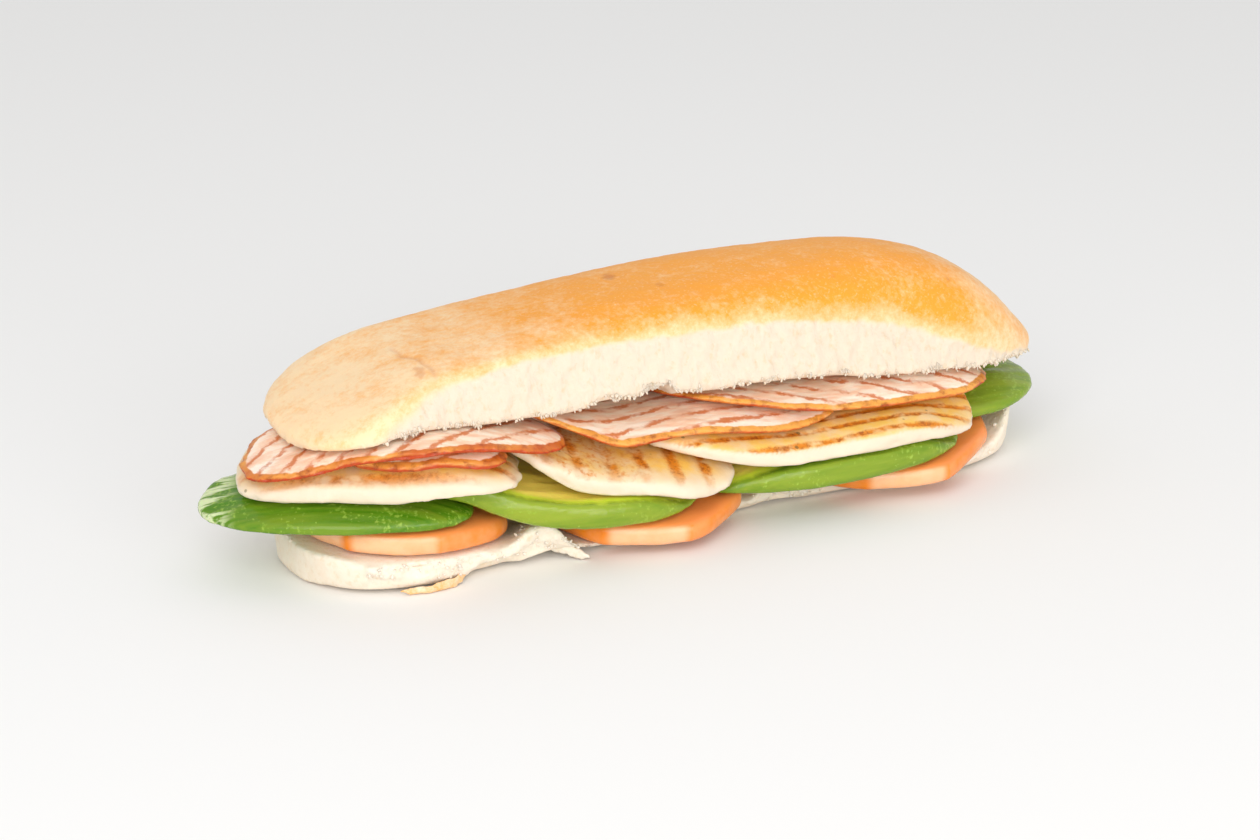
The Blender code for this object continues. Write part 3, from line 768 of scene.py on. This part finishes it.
@dataclass
class UpperHalf(FoodPiece):
    """The upper half of the roll: a golden dome over a band of torn crumb.

    Attributes:
        crust_edge: Where the crust ends above the torn side, as places along X and heights.
        notch: Middle, half width and height of the hole torn in the lower edge.
    """

    finish: ClassVar[Finish] = BatchBakedRoll()
    slot: ClassVar[str] = "bread_crust"
    node: str = "bread_top"
    seed: int = 1
    cell: float = 0.8
    crust_edge: tuple[tuple[float, float], ...] = (
        (-125.3, 43.0), (-113.3, 42.0), (-100.3, 48.5), (-85.3, 57.0), (-58.3, 62.0),
        (-15.3, 62.8), (24.7, 62.0), (49.7, 59.6), (76.7, 53.8), (99.7, 45.4),
        (116.7, 38.6), (134.7, 33.6), (143.7, 31.4),
    )
    notch: tuple[float, float, float] = (-9.5, 6.5, 3.6)

    def above_edge(self, skin: Skin) -> Array:
        """How far each vertex is above the crust's edge, with the edge's own wobble."""
        places, heights = np.array(self.crust_edge).T
        wobble = layered(skin.points, (self.seed, 7.0, 0.9), (self.seed + 1, 2.0, 0.5))
        return skin.points[:, 2] - np.interp(skin.points[:, 0], places, heights) + wobble

    def crumb(self, skin: Skin) -> Array:
        """1 on torn crumb and 0 on crust."""
        soft = 0.8 + 2.6 * smooth(-62.0, -98.0, skin.points[:, 0])
        return smooth(soft, -soft, self.above_edge(skin))

    def crease(self, skin: Skin) -> Array:
        """1 in the fold that runs down the left shoulder, 0 away from it."""
        x, y = skin.points[:, 0], skin.points[:, 1]
        bent = x + 80.5 + 1.6 * np.sin((y + 8.0) * 0.16) + Grain(41, 5.0).at(skin.points) * 0.9
        reach = smooth(-27.0, -20.0, y) * smooth(9.0, 3.0, y)
        return np.exp(-((bent / 0.8) ** 2)) * reach * skin.share(Face.TOP)

    def scars(self, skin: Skin) -> Array:
        """The brown spots of the crust, and the painted shade in its crease."""
        # The crease is painted brown too, at a share of 0.28: painted shade in the fold.
        total = 0.28 * self.crease(skin)
        for x, y, size, depth in (
            (-6.0, 12.0, 3.4, 0.55),
            (3.5, -3.5, 2.2, 0.30),
            (-83.0, -19.0, 2.6, 0.35),
            (102.5, -11.0, 1.4, 0.40),
            (60.0, -12.0, 1.0, 0.25),
        ):
            away = np.hypot(skin.points[:, 0] - x, (skin.points[:, 1] - y) * 0.7)
            away += Grain(52, 2.5).at(skin.points) * 1.8
            total = np.maximum(total, depth * smooth(size, size * 0.2, away) * (skin.normals[:, 2] > 0))
        return total

    def masks(self, skin: Skin) -> dict[str, Array]:
        """Crumb, browning, and scars with the painted shade of the crease."""
        above = self.above_edge(skin)
        x = skin.points[:, 0]
        bake = smooth(-4.0, 9.0, above) * (0.08 + 0.95 * smooth(-108.0, -42.0, x))
        bake *= 1.0 - 0.6 * smooth(82.0, 130.0, x)
        return {"lay": skin.points.copy(), "crumb": self.crumb(skin), "bake": bake, "scar_and_shade": self.scars(skin)}

    def shape(self, skin: Skin) -> None:
        """A softly uneven dome, and torn sides with fibres, pits and a ragged lower edge."""
        crumb = self.crumb(skin)
        crust = 1.0 - crumb
        side = skin.side()
        above_foot = skin.distance_to(skin.normals[:, 2] < -0.6)
        skin.ease(90, smooth(-50.0, -85.0, skin.points[:, 0]) * smooth(1.5, 6.0, above_foot))
        lower = smooth(4.5, 0.4, above_foot) * side
        p = skin.points.copy()
        relief = crust * layered(p, (3, 30.0, 0.45), (4, 7.0, 0.14), (5, 2.2, 0.08))
        relief -= self.crease(skin) * 0.55
        fibres = layered(p, (6, (1.7, 1.7, 2.6), 0.48), (7, (5.0, 5.0, 6.0), 0.85))
        pits = Grain(8, (2.6, 2.6, 3.6)).pits(p) * Grain(9, 9.0).at(p).clip(0.0, 1.0) * 1.1
        relief += crumb * side * (fibres - pits)
        skin.push(relief)
        ragged = layered(p, (10, (1.4, 3.0, 50.0), 0.9), (11, (4.5, 6.0, 50.0), 0.9))
        skin.points[:, 2] += lower * crumb * ragged
        x, half, height = self.notch
        near = np.abs(p[:, 0] - x) < half
        front = p[near, 1].min()
        lift = height * smooth(half, half * 0.5, np.abs(p[:, 0] - x + Grain(12, 3.0).at(p) * 0.9))
        lift *= smooth(front + 13.0, front + 7.0, p[:, 1])
        skin.points[:, 2] += np.maximum(lift - above_foot, 0.0)


@dataclass
class LowerHalf(FoodPiece):
    """The lower half of the roll: a pale crusty left end, torn crumb in front, pressed by the tomatoes.

    Attributes:
        crust_until: How far the left end's crust reaches along X.
        crust_from: Where the right end's crust starts.
        undercut: Middle, half width and depth of the place where the front's foot is torn away.
    """

    finish: ClassVar[Finish] = LightenedLowerRoll()
    slot: ClassVar[str] = "bread_crumb"
    node: str = "bread_bottom"
    seed: int = 2
    cell: float = 0.85
    crust_until: float = -108.0
    crust_from: float = 117.0
    undercut: tuple[float, float, float] = (-66.0, 11.0, 3.4)

    def crumb(self, skin: Skin) -> Array:
        """1 on torn crumb and 0 on the crusty ends and base."""
        p = skin.points
        wobble = layered(p, (self.seed, 8.0, 3.0), (self.seed + 20, 2.2, 1.0))
        inner = smooth(self.crust_until - 1.2, self.crust_until + 1.2, p[:, 0] + wobble)
        inner *= smooth(self.crust_from + 1.2, self.crust_from - 1.2, p[:, 0] + wobble)
        torn = inner * (1.0 - skin.share(Face.UNDER))
        return np.maximum(torn, skin.share(Face.TOP))

    def masks(self, skin: Skin) -> dict[str, Array]:
        """Crumb, browning and scars."""
        bake = 0.5 * smooth(2.5, 0.0, skin.points[:, 2])
        # The crumb mask is held at 0.8 or more, so that the crusty ends are painted nearly as white as crumb:
        # painted light.
        crumb = np.maximum(self.crumb(skin), 0.80)
        return {"lay": skin.points.copy(), "crumb": crumb, "bake": bake, "scar_and_shade": np.zeros(len(crumb))}

    def shape(self, skin: Skin) -> None:
        """Torn lumps, fibres and pits in front, and a nearly smooth crust at the ends."""
        p = skin.points.copy()
        torn = self.crumb(skin) * skin.side()
        relief = torn * layered(p, (21, 11.0, 1.5), (22, 4.5, 0.9), (23, 1.8, 0.4))
        relief -= torn * Grain(24, (3.2, 3.2, 3.0)).pits(p) * Grain(25, 10.0).at(p).clip(0.0, 1.0) * 2.0
        relief += (1.0 - torn) * skin.side() * layered(p, (26, 14.0, 0.5), (27, 3.0, 0.1))
        skin.push(relief)
        x, half, depth = self.undercut
        foot = smooth(half, half * 0.4, np.abs(p[:, 0] - x)) * smooth(6.0, 1.5, p[:, 2])
        foot *= smooth(0.0, -20.0, p[:, 1])
        skin.points[:, 1] += foot * depth
        skin.points[:, 2] += foot * 1.2 * skin.side()
        ragged = smooth(0.1, 0.8, Grain(28, (6.0, 6.0, 40.0)).at(p)) * 2.4 + Grain(29, 2.2).at(p) * 0.7
        low = smooth(4.0, 0.8, p[:, 2]) * smooth(-16.0, -26.0, p[:, 1]) * self.crumb(skin)
        skin.points[:, 2] = np.maximum(skin.points[:, 2] + low * ragged, 0.0)


@dataclass
class TomatoSlice(FoodPiece):
    """A thick tomato slice whose rim has soft corners.

    Attributes:
        corners: How many there are round the whole rim.
        first_deg: The direction of one of them.
    """

    finish: ClassVar[Finish] = RipeTomato()
    slot: ClassVar[str] = "tomato"
    corners: int = 8
    first_deg: float = 0.0
    cell: float = 0.8

    def turned(self, skin: Skin) -> Array:
        """How many flats round the rim each vertex is from the first corner."""
        out = skin.points - skin.middle()
        angle = np.degrees(np.arctan2(out[:, 1], out[:, 0])) - self.first_deg
        return (angle % 360.0) / (360.0 / self.corners)

    def masks(self, skin: Skin) -> dict[str, Array]:
        """Which flats are painted pale as lit ones, and what is cut flesh."""
        flat = self.turned(skin)
        part = flat % 1.0
        odd = np.where(np.floor(flat) % 2 == 0, 1.0, 0.0)
        edge = smooth(0.0, 0.12, part) * smooth(1.0, 0.88, part)
        # Every other flat, and a little the flats near the first corner, is painted pale: painted light on
        # the flats that face the light.
        pale = 0.05 + 0.85 * odd * edge + 0.2 * smooth(3.0, 1.0, flat) * (1 - odd)
        return {"lay": skin.points - skin.middle(), "pale": pale, "cut": skin.share(Face.TOP)}

    def shape(self, skin: Skin) -> None:
        """Draws the rim in along the flats between the corners."""
        middle = skin.middle()
        half = math.pi / self.corners
        off = (self.turned(skin) % 1.0 - 0.5) * 2.0 * half
        drawn_in = 1.0 - 0.45 * (1.0 - math.cos(half) / np.cos(off))
        skin.points[:, :2] = middle[:2] + (skin.points[:, :2] - middle[:2]) * drawn_in[:, None]
        skin.push(layered(skin.points, (self.seed, 9.0, 0.25), (self.seed, 2.5, 0.05)))


@dataclass
class LongSlice(FoodPiece):
    """A slice with a long axis of its own.

    Attributes:
        turn_deg: The direction of its long axis from +X.
    """

    turn_deg: float = 0.0

    def lay(self, skin: Skin) -> Array:
        """The place of each vertex along, across and up the slice, from its middle."""
        out = skin.points - skin.middle()
        along, across = (out @ direction(self.turn_deg + more) for more in (0.0, 90.0))
        return np.stack([along, across, out[:, 2]], axis=1)

    def rim_distance(self, skin: Skin) -> Array:
        """How far each vertex is from the slice's side."""
        return skin.distance_to(np.abs(skin.normals[:, 2]) < 0.55)


@dataclass
class CucumberSlice(LongSlice):
    """A lengthwise cucumber slice.

    Attributes:
        flesh_until: How far along the slice the top is cut flesh, and not skin.
        striped_until: How far along the slice its pale striped tip reaches.
        light: How light its skin is, from 0 to 1.
    """

    finish: ClassVar[Finish] = FreshCucumber()
    slot: ClassVar[str] = "cucumber"
    cell: float = 0.8
    sharpness: float = 0.6
    flesh_until: float | None = None
    striped_until: float | None = None
    light: float = 0.0

    def masks(self, skin: Skin) -> dict[str, Array]:
        """Flesh, striped tip and lightness of the skin."""
        lay = self.lay(skin)
        flesh = np.zeros(len(lay))
        if self.flesh_until is not None:
            inside = smooth(0.3, 7.0, self.rim_distance(skin)) * skin.share(Face.TOP)
            slanted = lay[:, 0] - 0.8 * lay[:, 1]
            flesh = inside * smooth(self.flesh_until + 12.0, self.flesh_until - 12.0, slanted)
        tip = np.zeros(len(lay))
        if self.striped_until is not None:
            tip = smooth(self.striped_until + 4.0, self.striped_until - 4.0, lay[:, 0])
        light = np.full(len(lay), self.light)
        return {"lay": lay, "flesh": flesh, "tip": tip, "light_skin": light}

    def shape(self, skin: Skin) -> None:
        """Lengthwise ribs on the skin."""
        lay = self.lay(skin)
        ribs = (self.seed, (60.0, 3.0, 5.0), 0.35)
        skin.push(layered(lay, ribs, (self.seed + 1, 12.0, 0.3), (self.seed + 2, 1.6, 0.06)))


@dataclass
class GriddledSlice(LongSlice):
    """A slice that the griddle pan left bars on.

    Attributes:
        bars_deg: The direction of its bars from +X.
        bar_at: A place on one of its bars.
    """

    bars_deg: float = 0.0
    bar_at: tuple[float, float] = (0.0, 0.0)

    def across_bars(self, skin: Skin) -> Array:
        """How far each vertex is across the bars from one of them."""
        return (skin.points[:, :2] - np.array(self.bar_at)) @ direction(self.bars_deg + 90.0)[:2]


@dataclass
class HalloumiSlice(GriddledSlice):
    """A slice of halloumi.

    Attributes:
        spacing: From one bar to the next.
        fade: How far from its rim the bars have faded in.
        fried_and_shaded_at: Middle and radius of a patch that is fried brown and also painted darker as the
            shade under the bacon.
    """

    finish: ClassVar[Finish] = GrilledHalloumi()
    slot: ClassVar[str] = "halloumi"
    cell: float = 0.8
    sharpness: float = 0.75
    spacing: float = RIDGE_SPACING
    fade: float = 1.5
    fried_and_shaded_at: tuple[float, float, float] | None = None

    def across_bars(self, skin: Skin) -> Array:
        """How far each vertex is across the bars, as if they were RIDGE_SPACING apart."""
        return super().across_bars(skin) * RIDGE_SPACING / self.spacing

    def masks(self, skin: Skin) -> dict[str, Array]:
        """Where it touched the pan, where the bars are, and where it fried brown and is painted darker as the
        shade under the bacon.
        """
        grilled = smooth(0.25, 0.75, skin.normals[:, 2])
        fried_and_shaded = np.zeros(len(grilled))
        if self.fried_and_shaded_at is not None:
            x, y, reach = self.fried_and_shaded_at
            away = np.hypot(skin.points[:, 0] - x, skin.points[:, 1] - y)
            fried_and_shaded = smooth(reach, reach * 0.3, away) * grilled
        return {
            "lay": self.lay(skin),
            "across_bars": self.across_bars(skin),
            "grilled": grilled * (0.25 + 0.75 * smooth(0.0, self.fade, self.rim_distance(skin))),
            "fried_and_shaded": fried_and_shaded,
        }

    def shape(self, skin: Skin) -> None:
        """Shallow grooves under the bars, and uneven cut sides with a lumpy foot."""
        p = skin.points.copy()
        off_bar = np.abs((self.across_bars(skin) + RIDGE_SPACING / 2) % RIDGE_SPACING - RIDGE_SPACING / 2)
        relief = layered(p, (self.seed, 15.0, 0.35), (self.seed + 1, 4.0, 0.12))
        relief -= smooth(1.6, 0.4, off_bar) * skin.share(Face.TOP) * 0.25
        foot = skin.side() * smooth(4.0, 0.5, skin.distance_to(skin.normals[:, 2] < -0.6))
        relief += foot * Grain(self.seed + 2, (7.0, 7.0, 30.0)).at(p) * 1.2
        skin.push(relief)


@dataclass
class BaconRasher(GriddledSlice):
    """A grilled rasher of back bacon.

    Attributes:
        rind_width: How far its rind shows on the top.
        frayed: How ragged its edge is.
        browned: How much darker its rind is, from 0 to 1.
    """

    finish: ClassVar[Finish] = GrilledBackBacon()
    slot: ClassVar[str] = "bacon"
    cell: float = 0.62
    rind_width: float = 2.2
    frayed: float = 0.6
    browned: float = 0.0

    def masks(self, skin: Skin) -> dict[str, Array]:
        """The bars, where the pan touched and the rind."""
        rim = self.rim_distance(skin)
        rind = smooth(self.rind_width * 1.4, self.rind_width * 0.5, rim)
        return {
            "lay": self.lay(skin),
            "across_bars": self.across_bars(skin),
            "grilled": skin.share(Face.TOP),
            "rind": rind,
            "low": smooth(0.5, -0.15, skin.normals[:, 2]) * 0.8 + self.browned,
        }

    def shape(self, skin: Skin) -> None:
        """Ripples over the meat and a frayed edge."""
        p = skin.points.copy()
        outward = skin.normals.copy()
        outward[:, 2] = 0.0
        edge = skin.side()
        fray = layered(p, (self.seed, 2.6, self.frayed), (self.seed + 1, 8.0, self.frayed))
        skin.points += outward * (edge * fray)[:, None]
        ripples = Grain(self.seed + 2, 9.0).at(p) * 0.3
        ripples += Grain(self.seed + 3, (7.0, 1.6, 7.0)).at(self.lay(skin)) * 0.12
        skin.push(ripples * skin.share(Face.TOP))


@dataclass(frozen=True, kw_only=True)
class Scrap:
    """Torn bread that is loose from the halves of the roll.

    Attributes:
        name: The piece's name.
        seed: Which of the seeded patterns it has.
        crumb: 1 for crumb and 0 for crust.
        bake: How far it is browned.
        finish: The bread that it is of.
        slot: The record's material slot. Not used.
    """

    name: str
    seed: int
    crumb: float = 1.0
    bake: float = 0.0
    finish: Finish = LightenedLowerRoll()
    slot: str = "bread_crumb"

    def lay_out(self, points: Array, faces: list[list[int]]) -> None:
        """Makes the piece.

        Args:
            points: Its vertices.
            faces: The vertices' numbers for each face.
        """
        mesh = bpy.data.meshes.new(self.name)
        mesh.from_pydata((points / MM_IN_METRE).tolist(), [], faces)
        mesh.shade_smooth()
        skin = Skin(new_piece(self.name, mesh))
        plain = np.zeros(len(points))
        masks = {"crumb": plain + self.crumb, "bake": plain + self.bake, "scar_and_shade": plain}
        skin.write({"lay": skin.points.copy(), **masks})
        set_down(skin.piece, self.finish)


@dataclass(frozen=True, kw_only=True)
class TornRags(Scrap):
    """The many small rags and beads of crumb that stand on torn bread, joined into one piece.

    Attributes:
        count: How many there are.
        length: The shortest and the longest.
        girth: The thinnest and the thickest, as a share of the length.
        hang: How much they hang down, from 0 to 1.
    """

    count: int
    length: tuple[float, float]
    girth: tuple[float, float]
    hang: float

    def build(self, seats: Array, outward: Array) -> None:
        """Makes the rags.

        Args:
            seats: The points where a rag can stand.
            outward: The direction out of the bread at each.
        """
        draw = np.random.default_rng(self.seed)
        shape = bmesh.new()
        bmesh.ops.create_icosphere(shape, subdivisions=1, radius=1.0)
        ball = np.array([vertex.co for vertex in shape.verts])
        faces = np.array([[vertex.index for vertex in face.verts] for face in shape.faces])
        shape.free()
        gathered = np.exp(2.2 * Grain(self.seed, 6.0).at(seats))
        chosen = draw.choice(len(seats), size=self.count, p=gathered / gathered.sum())
        points = []
        for row in chosen:
            size = draw.uniform(*self.length) * draw.uniform(0.6, 1.0)
            along = outward[row] * (1.0 - self.hang) + np.array([0.0, 0.0, -1.0]) * self.hang
            along += draw.normal(size=3) * 0.35
            along /= np.linalg.norm(along)
            across = np.cross(along, draw.normal(size=3))
            across /= np.linalg.norm(across)
            third = np.cross(along, across)
            girth = draw.uniform(*self.girth, 2)
            rag = ball * (1.0 + draw.normal(size=len(ball)) * 0.13)[:, None] * size * 0.5
            axes = np.stack([along, across * girth[0], third * girth[1]])
            points.append(rag @ axes + seats[row] + along * size * 0.15)
        rows = np.concatenate([faces + len(ball) * k for k in range(self.count)])
        self.lay_out(np.concatenate(points), rows.tolist())


@dataclass(frozen=True, kw_only=True)
class TornFlap(Scrap):
    """A strip of bread that hangs from the torn foot of the lower half.

    Attributes:
        path: The places that its middle goes through.
        width: Of the strip in its middle. It narrows to both ends.
        thick: Of the strip.
        rings: How many rings of vertices it has.
        around: How many vertices each ring has.
    """

    path: tuple[tuple[float, float, float], ...]
    width: float
    thick: float
    rings: int = 40
    around: int = 20

    def build(self) -> None:
        """Makes the strip as a closed, uneven tube along its path."""
        part = np.linspace(0.0, 1.0, self.rings)
        knots = np.linspace(0.0, 1.0, len(self.path))
        middle = np.stack([np.interp(part, knots, places) for places in np.array(self.path).T], axis=1)
        along = np.gradient(middle, axis=0)
        along /= np.linalg.norm(along, axis=1)[:, None]
        level = np.cross(along, (0.0, 0.0, 1.0))
        level /= np.linalg.norm(level, axis=1)[:, None]
        upright = np.cross(level, along)
        swell = np.sqrt(np.clip(1.0 - (2.0 * part - 1.0) ** 2, 0.02, 1.0))[:, None, None]
        turn = np.linspace(0.0, 2.0 * math.pi, self.around, endpoint=False)[None, :, None]
        points = middle[:, None] + swell * (
            upright[:, None] * np.cos(turn) * self.width / 2 + level[:, None] * np.sin(turn) * self.thick / 2
        )
        points = points.reshape(-1, 3)
        points += np.stack([Grain(self.seed + k, 1.8).at(points) * 0.45 for k in range(3)], axis=1)
        points[:, 2] = np.maximum(points[:, 2], 0.05)
        ring = np.arange(len(points)).reshape(self.rings, self.around)
        after = np.roll(ring, -1, axis=1)
        faces = np.stack([ring[:-1], after[:-1], after[1:], ring[1:]], axis=-1).reshape(-1, 4).tolist()
        self.lay_out(points, faces + [ring[0, ::-1].tolist(), ring[-1].tolist()])


@dataclass
class Roll:
    """Both halves of the roll, the rags on their torn sides and two flaps at the lower half's foot."""

    upper: UpperHalf = field(default_factory=UpperHalf)
    lower: LowerHalf = field(default_factory=LowerHalf)
    fringe: TornRags = TornRags(
        name="upper_fringe",
        seed=61,
        count=1000,
        length=(0.8, 2.6),
        girth=(0.3, 0.65),
        hang=0.65,
        finish=UpperHalf.finish,
        slot=UpperHalf.slot,
    )
    fluff: TornRags = TornRags(
        name="lower_fluff", seed=63, count=1500, length=(0.6, 2.2), girth=(0.4, 0.85), hang=0.2
    )
    flaps: tuple[TornFlap, ...] = (
        TornFlap(
            name="crust_flap",
            seed=65,
            path=((-97.0, -36.0, 1.2), (-88.0, -37.5, 0.7), (-80.0, -36.5, 1.4), (-75.0, -34.0, 3.2)),
            width=3.0,
            thick=1.2,
            crumb=0.0,
            bake=0.55,
        ),
        TornFlap(
            name="hanging_rag",
            seed=68,
            path=((-50.0, -26.0, 4.5), (-44.0, -29.5, 3.6), (-39.0, -33.5, 2.0), (-36.0, -36.0, 0.9)),
            width=3.4,
            thick=2.0,
            bake=0.55,
        ),
    )

    def build(self, frame: dict[str, Any]) -> None:
        """Builds the halves, the rags and the flaps."""
        skin = self.upper.build(frame)
        foot = skin.distance_to(skin.normals[:, 2] < -0.6)
        seats = (np.abs(skin.normals[:, 2]) < 0.75) & (self.upper.crumb(skin) > 0.8) & (foot < 1.6)
        self.fringe.build(skin.points[seats], skin.normals[seats])
        skin = self.lower.build(frame)
        seats = (np.abs(skin.normals[:, 2]) < 0.8) & (self.lower.crumb(skin) > 0.8)
        seats &= skin.points[:, 2] > 1.2
        self.fluff.build(skin.points[seats], skin.normals[seats])
        for flap in self.flaps:
            flap.build()


@dataclass
class Filling:
    """All the slices between the halves, from the tomatoes up."""

    def slices(self) -> list[FoodPiece]:
        """The slices with their own turns, marks and patterns.

        Returns:
            One for each CAD node of the filling.
        """
        return [
            TomatoSlice("tomato_left", 71, corners=7, first_deg=-141.0),
            TomatoSlice("tomato_centre", 72, corners=8, first_deg=-127.0),
            TomatoSlice("tomato_right", 73, corners=8, first_deg=-122.0),
            CucumberSlice("cucumber_left", 74, turn_deg=-28.0, striped_until=-31.0),
            CucumberSlice("cucumber_centre", 75, turn_deg=-7.0, flesh_until=70.0, light=1.0),
            CucumberSlice("cucumber_right", 76, turn_deg=0.0, flesh_until=-14.0, light=0.6),
            CucumberSlice("cucumber_tip", 77, turn_deg=4.0, light=0.75),
            HalloumiSlice(
                "halloumi_left", 81, turn_deg=-26.0, bars_deg=-27.0, bar_at=(-100.0, -29.7), fade=6.0
            ),
            HalloumiSlice(
                "halloumi_centre",
                82,
                turn_deg=-9.0,
                bars_deg=79.0,
                bar_at=(-17.5, -32.0),
                fade=8.0,
                fried_and_shaded_at=(-36.0, -26.0, 30.0),
            ),
            HalloumiSlice(
                "halloumi_right", 83, turn_deg=-1.0, bars_deg=1.0, bar_at=(66.0, -33.2), spacing=5.6, fade=0.8
            ),
            BaconRasher("bacon_under", 91, turn_deg=-22.0, bars_deg=20.0, browned=0.3),
            BaconRasher(
                "bacon_left",
                92,
                turn_deg=-18.0,
                bars_deg=27.0,
                bar_at=(-80.0, -35.0),
                frayed=0.9,
                browned=0.5,
            ),
            BaconRasher("bacon_centre", 93, turn_deg=-3.0, bars_deg=9.0, bar_at=(-15.0, -29.0)),
            BaconRasher("bacon_right", 94, turn_deg=0.0, bars_deg=-24.0, bar_at=(40.0, -27.0)),
        ]

    def build(self, frame: dict[str, Any]) -> None:
        """Builds each slice in turn."""
        for piece in self.slices():
            piece.build(frame)


@dataclass
class Studio:
    """The white floor, the soft light and the camera of the photograph.

    Attributes:
        target_m: What the camera looks at.
        azimuth_deg: How far the camera is turned round from the front, to the right.
        elevation_deg: How far it looks down.
        distance_m: From the target.
        lens_mm: The focal length on a sensor 36 mm wide.
        floor_m: The width of the floor.
        glow: The strength of the even light from all round.
        lamps: The name, place and width in metres, and watts of each square soft light.
    """

    target_m: tuple[float, float, float] = (-0.0133, -0.0169, 0.035)
    azimuth_deg: float = -26.0
    elevation_deg: float = 20.0
    distance_m: float = 0.907
    lens_mm: float = 85.0
    floor_m: float = 12.0
    glow: float = 0.74
    lamps: tuple[tuple[str, tuple[float, float, float], float, float], ...] = (
        ("window_left", (-0.8, -1.1, 0.95), 1.2, 12.0),
        ("fill_front", (0.1, -1.4, 0.2), 0.9, 9.0),
    )

    def back(self) -> Vector:
        """The direction from the target to the camera."""
        turn, rise = math.radians(self.azimuth_deg), math.radians(self.elevation_deg)
        return Vector((math.sin(turn) * math.cos(rise), -math.cos(turn) * math.cos(rise), math.sin(rise)))

    def camera(self) -> None:
        """Adds the camera and makes it the scene's."""
        made = bpy.data.objects.new("camera", bpy.data.cameras.new("camera"))
        made.data.lens = self.lens_mm
        made.data.sensor_width = 36.0
        made.data.clip_start = 0.05
        made.location = Vector(self.target_m) + self.back() * self.distance_m
        made.rotation_euler = (-self.back()).to_track_quat("-Z", "Y").to_euler()
        bpy.context.scene.collection.objects.link(made)
        bpy.context.scene.camera = made

    def lamp(self, name: str, place: tuple[float, float, float], width: float, power: float) -> None:
        """Adds one square soft light that faces the sandwich.

        Args:
            name: Its name.
            place: Where it stands, in metres.
            width: Of its side, in metres.
            power: In watts.
        """
        light = bpy.data.lights.new(name, "AREA")
        light.shape = "SQUARE"
        light.size = width
        light.energy = power
        made = bpy.data.objects.new(name, light)
        made.location = place
        made.rotation_euler = (Vector(place) - Vector(self.target_m)).to_track_quat("Z", "Y").to_euler()
        bpy.context.scene.collection.objects.link(made)

    def floor(self) -> None:
        """Adds the floor just under the sandwich."""
        shape = bmesh.new()
        bmesh.ops.create_grid(shape, x_segments=4, y_segments=4, size=self.floor_m / 2)
        mesh = bpy.data.meshes.new("floor")
        shape.to_mesh(mesh)
        shape.free()
        mesh.materials.append(WhiteSweep().material())
        made = bpy.data.objects.new("floor", mesh)
        made.location = (0.0, 0.0, -0.0002)
        bpy.context.scene.collection.objects.link(made)

    def world(self) -> None:
        """Even white light from all round."""
        world = bpy.data.worlds.new("white_room")
        world.use_nodes = True
        world.node_tree.nodes.clear()
        glow = add_node(
            world.node_tree, "Background", {}, {"Color": (0.985, 0.99, 1.0, 1.0), "Strength": self.glow}
        )
        add_node(world.node_tree, "OutputWorld", {}, {"Surface": glow})
        bpy.context.scene.world = world

    def build(self) -> None:
        """Adds the camera, the floor and the lights."""
        self.camera()
        self.floor()
        self.world()
        for lamp in self.lamps:
            self.lamp(*lamp)
        bpy.context.scene.view_settings.view_transform = "Standard"


def main() -> None:
    """Builds the sandwich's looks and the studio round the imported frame."""
    logging.basicConfig(level=logging.INFO, format="%(name)s: %(message)s")
    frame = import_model()
    bpy.context.scene.collection.children.link(bpy.data.collections.new(COLLECTION))
    Roll().build(frame)
    Filling().build(frame)
    Studio().build()


if __name__ == "__main__":
    main()
